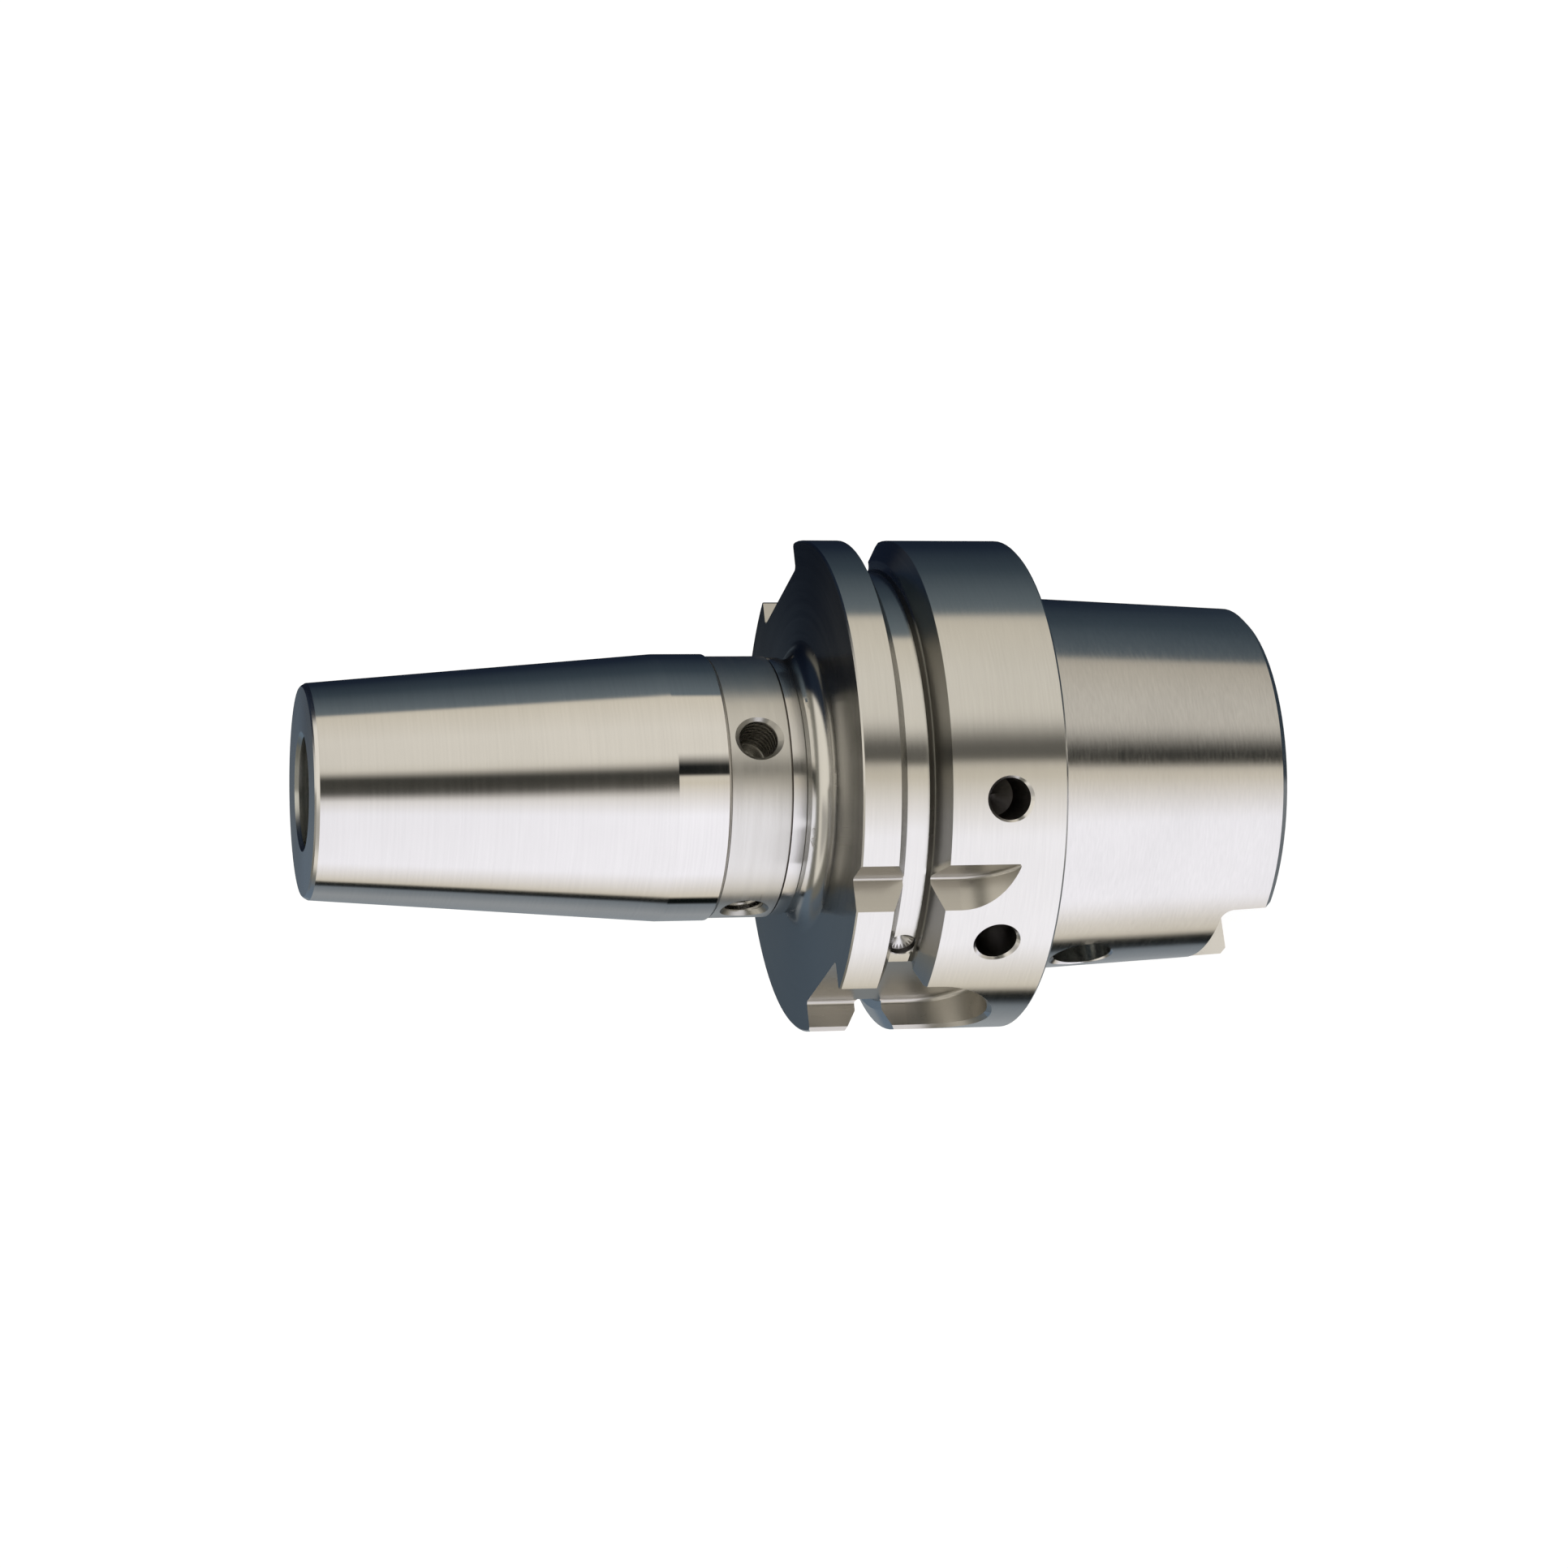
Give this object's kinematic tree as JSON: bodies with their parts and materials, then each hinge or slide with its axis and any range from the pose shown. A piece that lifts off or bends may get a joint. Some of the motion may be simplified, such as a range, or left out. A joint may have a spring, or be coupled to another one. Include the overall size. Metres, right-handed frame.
{
  "type": "shrink fit holder",
  "caption": "Tool holder with a hollow taper shank, a flange with gripper groove, keyways and notch, and a slim tapered nose that grips a round tool shank when it has shrunk.",
  "frame": {"origin": "centre of the contact face, the plane of the flange that seats on the spindle nose", "axes": "+Z along the tool axis, out of the nose; +X towards the keyway of 16 mm width; +Y completes a right-handed frame, with the orientation notch between +X and +Y"},
  "size_m": [0.063, 0.063, 0.122],
  "materials": {
    "holder_steel": "hardened tool steel, fine turned and ground, satin to bright",
    "screw_steel": "black oxide on machined steel"
  },
  "bodies": {
    "holder": {"holder_body": "holder_steel"},
    "stop_screw": {"length_stop_screw": "screw_steel"}
  },
  "joints": [
    {"name": "stop_screw_travel", "type": "slide", "parent": "holder", "child": "stop_screw", "axis": [0, 0, 1], "range_m": [0, 0.01]}
  ]
}
